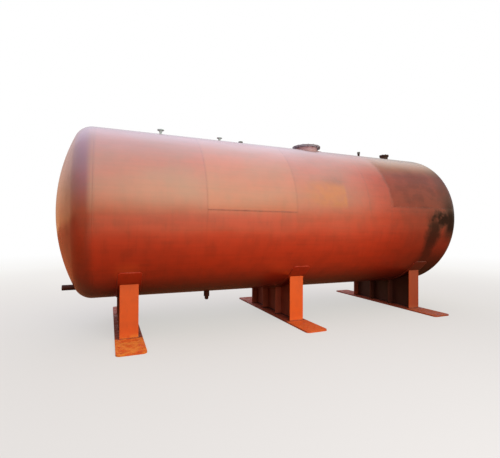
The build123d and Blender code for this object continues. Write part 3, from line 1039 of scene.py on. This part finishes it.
# How far the floor reaches from the middle, and how far below the base plates it lies
FLOOR_REACH = 90
FLOOR_DEPTH = 0.0005


def make_floor(studio):
    """A wide pale floor that takes soft shadows near the tank and fades to white far from it.

    To the tank it is ground, dark soil nearby and paler sand further off in front, so that the tank's
    underside stays dark.
    """
    mesh = bmesh.new()
    bmesh.ops.create_grid(mesh, x_segments=1, y_segments=1, size=FLOOR_REACH)
    move(mesh, 0, 0, -FLOOR_DEPTH)
    tree, coordinates, parts = new_material("pale_floor")
    away = node(tree, "ShaderNodeVectorMath", {0: coordinates}, operation="LENGTH").outputs["Value"]
    far = times(tree, rise(tree, away, 4.0, 10.0), 0.18)
    ground = coats(
        tree, studio.soil,
        (studio.sand, larger(tree, rise(tree, parts[1], -1.2, -9.0), far)),
        (studio.clay, rise(tree, parts[0], -3.6, -5.6), 0.6),
    )
    seen = node(tree, "ShaderNodeLightPath").outputs["Is Camera Ray"]
    tone = scaled(studio.floor, studio.floor_albedo)
    matt = node(tree, "ShaderNodeBsdfDiffuse", {"Color": coats(tree, ground, (tone, seen))})
    pale = coats(tree, studio.floor, (WHITE, rise(tree, away, 6.0, 25.0)))
    glow = node(tree, "ShaderNodeEmission", {"Color": pale})
    shaded = ranged(tree, rise(tree, away, 14.0, 4.0), 1.0, 1 - studio.floor_share)
    sockets = {0: times(tree, seen, shaded), 1: matt.outputs[0], 2: glow.outputs[0]}
    both = node(tree, "ShaderNodeMixShader", sockets)
    node(tree, "ShaderNodeOutputMaterial", {"Surface": both.outputs[0]})
    floor = put("floor", finished("floor", mesh))
    floor.data.materials.append(bpy.data.materials["pale_floor"])


def scaled(colour, strength):
    """A colour made brighter or dimmer."""
    return [c * strength for c in colour[:3]] + [1]


def sky_ramp(tree, place, bands, full):
    """A ramp through bands of sky, each with a place up to full, a colour and a brightness."""
    ramp = node(tree, "ShaderNodeValToRGB", {0: place})
    stops = ramp.color_ramp.elements
    stops.remove(stops[1])
    for i, (start, colour, share) in enumerate(bands):
        stop = stops.new(start / full) if i else stops[0]
        stop.position = start / full
        stop.color = scaled(linear(colour), share)
    return ramp.outputs[0]


def make_sky(scene, studio):
    """A soft sky in bands over the tank, brightest in front, dim to the left and dimmer to the right."""
    world = bpy.data.worlds.new("soft_sky")
    scene.world = world
    world.use_nodes = True
    tree = world.node_tree
    tree.nodes.clear()
    direction = node(tree, "ShaderNodeTexCoord").outputs["Generated"]
    x, y, z = node(tree, "ShaderNodeSeparateXYZ", {0: direction}).outputs[:3]
    over = maths(tree, "ARCTAN2", z, times(tree, y, -1.0))
    sky = sky_ramp(tree, times(tree, over, 1 / math.pi), SKY_BANDS, 180)
    sky = coats(tree, sky, (sky_ramp(tree, z, LEFT_BANDS, 1), rise(tree, x, 0.05, -0.5)))
    strength = times(tree, ranged(tree, x, 1.0, studio.right_share, 0.42, 0.75), studio.sky_strength)
    seen = node(tree, "ShaderNodeLightPath").outputs["Is Camera Ray"]
    sockets = {"Color": coats(tree, sky, (WHITE, seen)), "Strength": ranged(tree, seen, strength, 1.0)}
    light = node(tree, "ShaderNodeBackground", sockets)
    node(tree, "ShaderNodeOutputWorld", {"Surface": light.outputs[0]})


def make_panel(name, place, size, power):
    """A broad soft panel aimed at the shell's axis, that evens out the shading without a glare of its own."""
    data = bpy.data.lights.new(name, "AREA")
    data.shape = "RECTANGLE"
    data.size, data.size_y = size
    data.energy = power
    panel = put(name, data)
    aim = Vector((place[0], 0, AXIS_HEIGHT)) - Vector(place)
    panel.matrix_world = Matrix.Translation(place) @ aim.to_track_quat("-Z", "Y").to_matrix().to_4x4()
    panel.visible_glossy = False
    panel.visible_camera = False


def make_camera(scene, studio):
    """A hand-held view from eye level, left of the tank's middle."""
    data = bpy.data.cameras.new("camera")
    data.sensor_fit = "HORIZONTAL"
    data.sensor_width = 36
    data.lens = studio.focal_pixels * data.sensor_width / studio.image_width
    data.clip_end = 500
    camera = put("camera", data)
    turn = (
        Matrix.Rotation(-studio.camera_yaw, 4, "Z")
        @ Matrix.Rotation(math.pi / 2 + studio.camera_pitch, 4, "X")
        @ Matrix.Rotation(studio.camera_roll, 4, "Z")
    )
    camera.matrix_world = Matrix.Translation(studio.camera_place) @ turn
    scene.camera = camera


class TANK_PT_panel(bpy.types.Panel):
    """Lists the steps that dress the tank."""

    bl_idname = "TANK_PT_panel"
    bl_label = "Pressure tank"
    bl_space_type = "VIEW_3D"
    bl_region_type = "UI"
    bl_category = "Tank"

    def draw(self, context):
        for step in STEPS:
            self.layout.operator(step.bl_idname)
        for group in GROUPS:
            settings = getattr(context.scene, group)
            for name in settings.bl_rna.properties.keys():
                if name not in ("rna_type", "name"):
                    self.layout.prop(settings, name)


GROUPS = {
    "tank_paint": PaintSettings,
    "tank_weld": WeldSettings,
    "tank_bolts": BoltSettings,
    "tank_studio": StudioSettings,
}
STEPS = (
    TANK_OT_paint, TANK_OT_ring_seams, TANK_OT_long_seams, TANK_OT_pipe_welds, TANK_OT_saddle_welds,
    TANK_OT_wear_plate_welds, TANK_OT_bolts, TANK_OT_studio,
)
CLASSES = (*GROUPS.values(), *STEPS, TANK_PT_panel)


def register():
    """Make the settings, the steps and the panel known to Blender."""
    for kind in CLASSES:
        bpy.utils.register_class(kind)
    for name, kind in GROUPS.items():
        setattr(bpy.types.Scene, name, PointerProperty(type=kind))


def unregister():
    """Take them away again."""
    for name in GROUPS:
        delattr(bpy.types.Scene, name)
    for kind in reversed(CLASSES):
        bpy.utils.unregister_class(kind)


def main():
    """Dress the tank and set the stage."""
    register()
    bpy.ops.tank.paint()
    bpy.ops.tank.ring_seams()
    bpy.ops.tank.long_seams()
    bpy.ops.tank.pipe_welds()
    bpy.ops.tank.saddle_welds()
    bpy.ops.tank.wear_plate_welds()
    bpy.ops.tank.bolts()
    bpy.ops.tank.studio()


if __name__ == "__main__":
    main()
